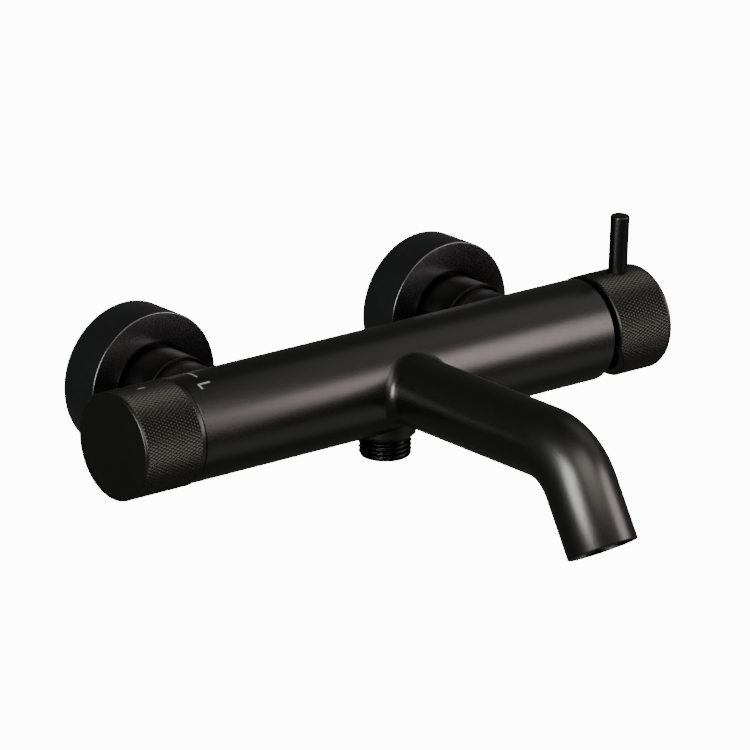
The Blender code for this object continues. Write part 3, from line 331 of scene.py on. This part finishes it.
# Lapped alumina: off-white, very smooth.
ALUMINA = surface("lapped_alumina", "#e6e3d8", 0.0, 0.18, 0.0005, 0.000001, 0.02)
# Moulded acetal: waxy dark grey.
ACETAL = surface("moulded_acetal", "#3d3d3c", 0.0, 0.42, 0.0006, 0.000005, 0.04)
PALE_ACETAL = surface("moulded_pale_acetal", "#c9c8c2", 0.0, 0.40, 0.0006, 0.000005, 0.04)
# Plated steel stampings: smoother than the castings, with a tighter highlight and a cooler grey.
COVER_GUNMETAL = surface("plated_steel_gunmetal", "#6a6b6d", 1.0, 0.27, 0.0003, 0.000002, 0.02)
# Union parts, which the covers shade: the plating's colour darkened almost to black as painted shade.
UNION_GUNMETAL_PAINTED_SHADE = surface("union_gunmetal", "#333332", 1.0, 0.34, 0.0003, 0.000003, 0.03)
# Nitrile rubber: matt black with a faint bloom.
NITRILE = surface("nitrile_rubber", "#1c1c1c", 0.0, 0.75, 0.0004, 0.00001, 0.08)
# Backdrop card lit to white.
WHITE_CARD = surface("white_card", "#f6f6f5", 0.0, 0.9, 0.001, 0.000001)
WHITE_CARD.node_tree.nodes["Principled BSDF"].inputs["Emission Color"].default_value = (1, 1, 1, 1)
WHITE_CARD.node_tree.nodes["Principled BSDF"].inputs["Emission Strength"].default_value = BACKDROP


# --- body ---------------------------------------------------------------------------------------------
def make_body():
    """The casting's outside as a turned shell, with its necks, collar and the blends to its bosses."""
    dark = ("faucet_body", "dark_plated_brass", SATIN_GUNMETAL)
    end_bore, end_depth, pocket, pocket_depth = 0.0153, 0.0065, 0.0128, 0.0375
    left_bore, left_depth = 0.0123, 0.0323
    left, right = body_low.x, body_high.x
    outline = rounded([
        (left + left_depth, 0), (left + left_depth, left_bore), (left, left_bore), (left, BODY_RADIUS),
        (right, BODY_RADIUS), (right, end_bore), (right - end_depth, end_bore), (right - end_depth, pocket),
        (right - pocket_depth, pocket), (right - pocket_depth, 0)])
    piece("body", lathe(outline, AXIS, X, 256), *dark, replaces=["body_casting"])

    for side, along in INLETS.items():
        inlet = AXIS + along * X
        gap = 0.0003
        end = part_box(f"union_nut_{side}")[0].y - AXIS[1] - gap
        outline = rounded([(BOSS_START, NECK_BORE), (BOSS_START, NECK_RADIUS), (end, NECK_RADIUS),
                           (end, NECK_BORE)])
        piece(f"neck_{side}", lathe(outline, inlet, Y, 128), *dark, ring=True)
        piece(f"neck_blend_{side}", blend_skirt(NECK_RADIUS, NECK_BLEND, inlet, Y, 128, 6), *dark, ring=True)

    collar_foot = COLLAR_BOTTOM + COLLAR_CHAMFER
    outline = rounded([(BOSS_START, COLLAR_BORE), (BOSS_START, COLLAR_RADIUS),
                       (COLLAR_BOTTOM, COLLAR_RADIUS, 0.0003),
                       (collar_foot, COLLAR_RADIUS - COLLAR_CHAMFER, 0.0002), (collar_foot, COLLAR_BORE)])
    piece("shower_collar", lathe(outline, OUTLET, -Z, 128), *dark, ring=True)
    piece("spout_blend", blend_skirt(SPOUT_RADIUS, SPOUT_BLEND, OUTLET, -Y), *dark, ring=True)


def make_marks():
    """Laser marks on the body: strokes of a small pictogram, bent onto the cylinder."""
    mark = ("dark_plated_brass", LASER_MARK)
    body_mark = (BODY_RADIUS, AXIS)
    stroke("spout_mark", [(-0.0925, 0.0042), (-0.0928, -0.0024)], 0.0007, *body_mark, "faucet_body", *mark)
    stroke("shower_mark", [(-0.0904, -0.0072), (-0.0961, -0.0074), (-0.0958, -0.0101)], 0.0009, *body_mark,
           "faucet_body", *mark)


def stroke(name, points, width, radius, centre, body, slot, material):
    """A line of constant width on the cylinder, as a thin closed plate.

    A point (along, arc) lies at the angle arc / radius from the top, towards the back. The plate's section is
    a rectangle from just under the surface to MARK_PROUD above it.
    """
    line = np.array(points)
    legs = [np.linspace(a, b, 24, endpoint=False) for a, b in zip(line, line[1:])]
    steps = np.concatenate(legs + [line[-1:]])
    slope = np.gradient(steps, axis=0)
    slope /= np.linalg.norm(slope, axis=1, keepdims=True)
    side = np.stack([-slope[:, 1], slope[:, 0]], -1) * width / 2
    under, over = radius - MARK_PROUD, radius + MARK_PROUD
    rows = []
    for shift, height in ((side, under), (side, over), (-side, over), (-side, under)):
        flat = steps + shift
        angle = flat[:, 1] / radius
        rows.append(centre + np.stack([flat[:, 0], height * np.sin(angle), height * np.cos(angle)], -1))
    grid = np.stack(rows, 1)
    caps = grid.mean(1, keepdims=True).repeat(4, 1)
    grid = np.concatenate([caps[:1], grid, caps[-1:]])
    piece(name, grid, body, slot, material)


# --- wall unions --------------------------------------------------------------------------------------
def make_unions():
    """At each inlet: the round nut, the eccentric union with its threads, and the cover plate."""
    for side, along in INLETS.items():
        inlet = AXIS + along * X
        make_nut(side, inlet)
        make_eccentric(side, inlet)
        make_cover(side, inlet)


def span(name):
    """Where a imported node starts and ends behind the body's axis, and how far up it reaches."""
    low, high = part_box(name)
    return low.y - AXIS[1], high.y - AXIS[1], high.z


def make_nut(side, inlet):
    start, end, outer = span(f"union_nut_{side}")
    outline = rounded([(start, NUT_HOLE), (start, outer), (end, outer, 0.0006), (end, NUT_BORE),
                       (start + NUT_END, NUT_BORE), (start + NUT_END, NUT_HOLE)])
    # Its material darkens the plating almost to black as painted shade from the cover.
    piece(f"nut_{side}", lathe(outline[:-1], inlet, Y, 160), "faucet_body", "dark_plated_brass",
          UNION_GUNMETAL_PAINTED_SHADE, ring=True, replaces=[f"union_nut_{side}"])


def make_eccentric(side, inlet):
    """The union's thread and collar round the inlet, and its wall thread a little lower."""
    start, end, _ = span(f"eccentric_union_{side}")
    root, wall_root = UNION_THREAD - THREAD_DEPTH, THREAD_RADIUS - THREAD_DEPTH
    depth, back = UNION_SHOULDER + UNION_BORE_DEPTH, UNION_SHOULDER + UNION_COLLAR_WIDTH
    inside = rounded([(depth, 0), (depth, UNION_BORE), (start, UNION_BORE), (start, root)])
    collar = rounded([(UNION_SHOULDER, root), (UNION_SHOULDER, UNION_COLLAR), (back, UNION_COLLAR),
                      (back, 0)])
    grid = np.concatenate([lathe(inside, inlet, Y, 160),
                           threaded(start, UNION_SHOULDER, UNION_THREAD, inlet, Y),
                           lathe(collar, inlet, Y, 160)])
    # Its material darkens the plating almost to black as painted shade from the cover.
    piece(f"eccentric_{side}", grid, "faucet_body", "brass", UNION_GUNMETAL_PAINTED_SHADE,
          replaces=[f"eccentric_union_{side}"])

    lowered = inlet - ECCENTRICITY * Z
    foot = back - WALL_THREAD_SINK
    bore = rounded([(end, wall_root), (end, WALL_BORE), (foot, WALL_BORE), (foot, wall_root)])
    grid = np.concatenate([threaded(foot, end, THREAD_RADIUS, lowered, Y), lathe(bore, lowered, Y, 160)])
    # Its material darkens the plating almost to black as painted shade from the cover.
    piece(f"wall_thread_{side}", grid, "faucet_body", "brass", UNION_GUNMETAL_PAINTED_SHADE, ring=True)


def make_cover(side, inlet):
    start, end, outer = span(f"rosette_{side}")
    wall, bore, sleeve_end, seam = ROSETTE_WALL, ROSETTE_BORE, start + ROSETTE_SLEEVE, 0.001
    outline = rounded([
        (start, bore + seam), (start, outer, 0.0006), (end, outer, 0.0003), (end, outer - wall, 0.0003),
        (start + wall, outer - wall, 0.001), (start + wall, bore + wall, 0.001),
        (sleeve_end, bore + wall, 0.0003), (sleeve_end, bore, 0.0003), (start, bore, 0.0004),
        (start, bore + seam)])
    piece(f"wall_cover_{side}", lathe(outline[:-1], inlet, Y, 192), "faucet_body", "dark_steel",
          COVER_GUNMETAL, ring=True, replaces=[f"rosette_{side}"])


# --- spout --------------------------------------------------------------------------------------------
def make_spout():
    """The bent tube: straight out of the body, round the bend and down the nose, with a rounded lip."""
    bend = np.linspace(0, SPOUT_DROP, 49)
    backs = -SPOUT_STRAIGHT - SPOUT_BEND * np.sin(bend)
    ups = -SPOUT_BEND * (1 - np.cos(bend))
    half_edge = EDGE * (1 - sin(radians(45)))
    nose = np.array([SPOUT_NOSE - EDGE, SPOUT_NOSE - half_edge, SPOUT_NOSE])
    nose_backs = backs[-1] - nose * cos(SPOUT_DROP)
    nose_ups = ups[-1] - nose * sin(SPOUT_DROP)
    path = np.concatenate([[(-SPOUT_START, 0)], np.stack([backs, ups], -1),
                           np.stack([nose_backs, nose_ups], -1)])
    pitches = np.concatenate([[0], bend, np.full(3, SPOUT_DROP)])
    outer = np.full(len(path), SPOUT_RADIUS)
    outer[-2:] = SPOUT_RADIUS - half_edge, SPOUT_RADIUS - EDGE
    inner = np.full(len(path), SPOUT_RADIUS - SPOUT_WALL)
    inner[-1] += EDGE / 2
    path = np.concatenate([path, path[::-1]])
    pitches = np.concatenate([pitches, pitches[::-1]])
    section = np.concatenate([outer, inner[::-1]])
    grid = carried(section, path, pitches, OUTLET, 160)
    piece("spout", grid, "faucet_body", "dark_plated_brass", SATIN_GUNMETAL, ring=True,
          replaces=["spout_tube"])


# --- threads ------------------------------------------------------------------------------------------
def threaded(start, end, crest, centre, axis, columns=160, rows_per_turn=16):
    """The outside of a thread of radius CREST from START to END along AXIS, as a grid of rows.

    The radius is the crest's less the depth times (1 - cos(phase)) / 2, where the phase grows by a turn for
    each pitch along and falls by a turn for each turn round: a rounded form. Cones trim its ends.
    """
    count = int((end - start) / THREAD_PITCH * rows_per_turn) + 2
    along = np.linspace(start, end, count)
    turns = np.arange(columns) / columns
    phase = tau * (along[:, None] / THREAD_PITCH - turns[None, :])
    drop = THREAD_DEPTH * (1 - np.cos(phase)) / 2
    lead = np.minimum(along - start, end - along)[:, None]
    first_step = 0.0002
    radius = np.minimum(crest - drop, crest - THREAD_DEPTH + first_step + lead)
    outline = np.stack([along, np.zeros(count)], -1)
    return lathe(outline, centre, axis, columns, growth=radius)


def make_shower_outlet():
    """The nipple: its thread under the collar, its bore, and the shank inside the body."""
    low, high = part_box("shower_nipple")
    gap = bevel = 0.0003
    end, start = AXIS[2] - low.z, COLLAR_BOTTOM + COLLAR_CHAMFER + gap
    bore, step, throat, shank_top, shank = 0.0077, 0.0170, 0.0050, 0.0143, 0.0096
    thread = threaded(start, end, THREAD_RADIUS, OUTLET, -Z)
    inside = rounded([(end, bore + bevel), (end - bevel, bore), (step, bore), (step, throat),
                      (shank_top, throat), (shank_top, shank), (start, shank),
                      (start, shank - bevel)], 0.0002)
    grid = np.concatenate([thread, lathe(inside, OUTLET, -Z, 160)])
    # Its material darkens the coat as painted shade on the thread.
    piece("shower_thread", grid, "faucet_body", "dark_thread_brass", THREAD_GUNMETAL_PAINTED_SHADE, ring=True,
          replaces=["shower_nipple"])


# --- knobs --------------------------------------------------------------------------------------------
def groove_steps(line):
    """How many steps each grid line of the knurl is from the nearest groove, the lines being numbered."""
    half = KNURL_STEPS // 2
    return np.abs((line + half) % KNURL_STEPS - half)


def knurled_knob(outer, rim, knurl_start, knurl_end, face, rounding, centre, axis):
    """A cup-shaped knob with a diamond knurl: its grid, and which way each cell's diagonal leans.

    Its rows run from the bottom of the cup, over the rim and the knurl, to the middle of the face. In the
    knurl, the grooves are where column + row or column - row is a multiple of KNURL_STEPS, so a diamond is
    that many columns wide. The depth falls from KNURL_DEPTH in a groove to nothing KNURL_LAND steps short of
    midway between two. A cell's diagonal lies along the nearer groove.
    """
    inner = outer - KNOB_WALL
    columns = KNURL_STEPS * KNURL_COUNT
    cell = tau * outer / columns / tan(KNURL_ANGLE)
    knurl = np.linspace(knurl_start, knurl_end, int((knurl_end - knurl_start) / cell) + 1)
    row, column = np.arange(len(knurl))[:, None], np.arange(columns)[None, :]
    nearest = np.minimum(groove_steps(column + row), groove_steps(column - row))
    slope = np.minimum(nearest / (KNURL_STEPS / 2 - KNURL_LAND), 1)
    cup = rounded([(face - KNOB_END, 0), (face - KNOB_END, inner, 0.0006), (rim, inner, 0.0003),
                   (rim, outer, rounding), (knurl_start, outer)])
    end = rounded([(knurl_end, outer), (face, outer, 0.0009), (face, 0)])
    rows = np.concatenate([cup[:-1], np.stack([knurl, np.full(len(knurl), outer)], -1), end[1:]])
    growth = np.zeros((len(rows), columns))
    lean = np.zeros((len(rows) - 1, columns), bool)
    first = len(cup) - 1
    growth[first + 1:first + len(knurl) - 1] = KNURL_DEPTH * (slope - 1)[1:-1]
    nearer = groove_steps(column - row) < groove_steps(column + row + 1)
    lean[first:first + len(knurl) - 1] = nearer[:-1]
    return lathe(rows, centre, axis, columns, growth), lean


def make_diverter_knob():
    low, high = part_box("diverter_knob")
    face, rim = -low.x, -high.x
    grid, lean = knurled_knob(high.z, rim, rim + 0.0018, face - 0.0013, face, 0.0005, AXIS, -X)
    piece("diverter_knob_shell", grid, "diverter_rotor", "dark_knurled_brass", KNURLED_GUNMETAL, leaning=lean,
          crisp=12, replaces=["diverter_knob"])
    surface_radius = high.z - 2 * MARK_PROUD
    stroke("knob_mark", [(-0.1203, -0.0010), (-0.1169, -0.0010)], 0.0006, surface_radius, AXIS,
           "diverter_rotor", "dark_knurled_brass", LASER_MARK)


def make_mixer_knob():
    """The mixer's knob, with its rim cut back where it tilts towards the body, and its pin."""
    low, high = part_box("mixer_knob")
    rim, face = low.x, high.x
    grid, lean = knurled_knob(MIXER_KNOB_RADIUS, rim, rim + 0.0007, face - 0.0012, face, 0.0003, AXIS, X)
    relief = rim + RELIEF_SLOPE * (-RELIEF_START - grid[..., 2])
    grid[..., 0] = np.maximum(grid[..., 0], relief)
    piece("mixer_knob_shell", turned_mixer(grid), "mixer_lever", "dark_knurled_brass", KNURLED_GUNMETAL,
          leaning=lean, crisp=12, replaces=["mixer_knob"])

    low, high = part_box("mixer_pin_lever")
    along, radius = (low.x + high.x) / 2, (high.x - low.x) / 2
    top = (high.z - radius * sin(MIXER_TURN)) / cos(MIXER_TURN)
    outline = rounded([(PIN_START, 0), (PIN_START, radius), (top, radius, 0.0006), (top, 0)])
    grid = turned_mixer(lathe(outline, AXIS + along * X, Z, 96))
    piece("pin_lever", grid, "mixer_lever", "dark_steel", ROD_GUNMETAL, replaces=["mixer_pin_lever"])


# --- CAD nodes that keep their shape ------------------------------------------------------------------
def finish_nodes():
    """Give each CAD node that no new piece stands for its own material."""
    finishes = {
        TURNED_BRASS: ["inlet_tail_left", "inlet_tail_right", "diverter_bush", "diverter_spindle"],
        BLACKENED_BRASS: ["clamp_nut"],
        SATIN_GUNMETAL: ["aerator_housing"],
        STAINLESS_STEEL: ["inlet_strainer_left", "inlet_strainer_right", "lever_stem", "pivot_pin",
                          "spindle_clip", "check_valve_spring", "mixer_grub_screw", "diverter_grub_screw"],
        ALUMINA: ["cartridge_fixed_disc", "cartridge_moving_disc", "diverter_fixed_disc",
                  "diverter_rotating_disc"],
        ACETAL: ["cartridge_base", "cartridge_housing", "disc_carrier", "lever_rotor", "spline_adapter",
                 "aerator_insert"],
        PALE_ACETAL: ["check_valve_body", "check_valve_poppet"],
        NITRILE: ["union_washer_left", "union_washer_right", "rosette_seal_left", "rosette_seal_right",
                  "aerator_gasket", "nipple_o_ring", "cartridge_seal_hot", "cartridge_seal_cold",
                  "cartridge_seal_mixed", "rotor_o_ring", "bush_o_ring", "spindle_o_ring", "diverter_gasket"],
    }
    for material, names in finishes.items():
        for name in names:
            mesh = frame["nodes"][name].data
            mesh.materials.clear()
            mesh.materials.append(material)


# --- studio -------------------------------------------------------------------------------------------
CAMERA_AZIMUTH = radians(-39.11)
CAMERA_ELEVATION = radians(18.43)
CAMERA_ROLL = radians(0.33)
CAMERA_DISTANCE = 2.4547
CAMERA_TARGET = Vector((-0.00329, AXIS[1], 0.002575))
LENS = 300.4                # for a 36 mm wide picture


def away(azimuth, elevation):
    """The direction from the target to a camera or lamp, azimuth 0 being in front of the wall."""
    return Vector((sin(azimuth) * cos(elevation), -cos(azimuth) * cos(elevation), sin(elevation)))


def make_camera():
    data = bpy.data.cameras.new("camera")
    data.lens = LENS
    data.clip_end = 50
    camera = bpy.data.objects.new("camera", data)
    bpy.context.scene.collection.objects.link(camera)
    back = away(CAMERA_AZIMUTH, CAMERA_ELEVATION)
    aim = back.to_track_quat("Z", "Y").to_matrix().to_4x4()
    camera.matrix_world = (Matrix.Translation(CAMERA_TARGET + back * CAMERA_DISTANCE) @ aim
                           @ Matrix.Rotation(CAMERA_ROLL, 4, "Z"))
    bpy.context.scene.camera = camera


def softbox(name, azimuth, elevation, distance, width, height, power, colour="#ffffff"):
    """A flat rectangular lamp that faces the object."""
    data = bpy.data.lights.new(name, "AREA")
    data.shape = "RECTANGLE"
    data.size, data.size_y = width, height
    data.energy = power
    data.color = linear(colour)[:3]
    lamp = bpy.data.objects.new(name, data)
    bpy.context.scene.collection.objects.link(lamp)
    back = away(radians(azimuth), radians(elevation))
    lamp.matrix_world = (Matrix.Translation(CAMERA_TARGET + back * distance)
                         @ back.to_track_quat("Z", "Y").to_matrix().to_4x4())


def make_studio():
    """White floor and surroundings, which the pieces see dimmed, and soft lamps for their highlights."""
    floor_size, floor_drop = 8.0, 0.35
    bpy.ops.mesh.primitive_plane_add(size=floor_size, location=(0, 0, -floor_drop))
    floor = bpy.context.object
    floor.name = "floor"
    floor.data.materials.append(WHITE_CARD)
    floor.visible_glossy = False
    floor.visible_diffuse = False

    world = bpy.data.worlds.new("studio")
    bpy.context.scene.world = world
    world.use_nodes = True
    tree = world.node_tree
    tree.nodes.clear()
    path = node(tree, "ShaderNodeLightPath").outputs
    strength = node(tree, "ShaderNodeMapRange", {"To Min": MATT_GLOW, "To Max": MIRRORED_GLOW},
                    Value=path["Is Glossy Ray"]).outputs["Result"]
    dim = node(tree, "ShaderNodeBackground", {"Color": linear("#fdfffb")}, Strength=strength)
    bright = node(tree, "ShaderNodeBackground", {"Color": linear("#ffffff"), "Strength": BACKDROP})
    mix = node(tree, "ShaderNodeMixShader", Fac=path["Is Camera Ray"])
    tree.links.new(dim.outputs[0], mix.inputs[1])
    tree.links.new(bright.outputs[0], mix.inputs[2])
    node(tree, "ShaderNodeOutputWorld", Surface=mix.outputs[0])

    softbox("left_strip", -68, 19, 2.0, 0.8, 1.3, 40, "#fffdff")
    softbox("right_box", 45, 16, 2.0, 1.0, 1.05, 14.5, "#fff0f1")
    softbox("upper_box", -3, 45, 2.0, 1.5, 1.3, 12, "#fffaee")
    softbox("low_fill", 42, -36, 2.0, 1.6, 0.9, 1.2)
    softbox("right_fill", 88, 42, 2.0, 1.2, 1.4, 2.0)


make_camera()
make_studio()
make_body()
make_marks()
make_unions()
make_spout()
make_shower_outlet()
make_diverter_knob()
make_mixer_knob()
finish_nodes()
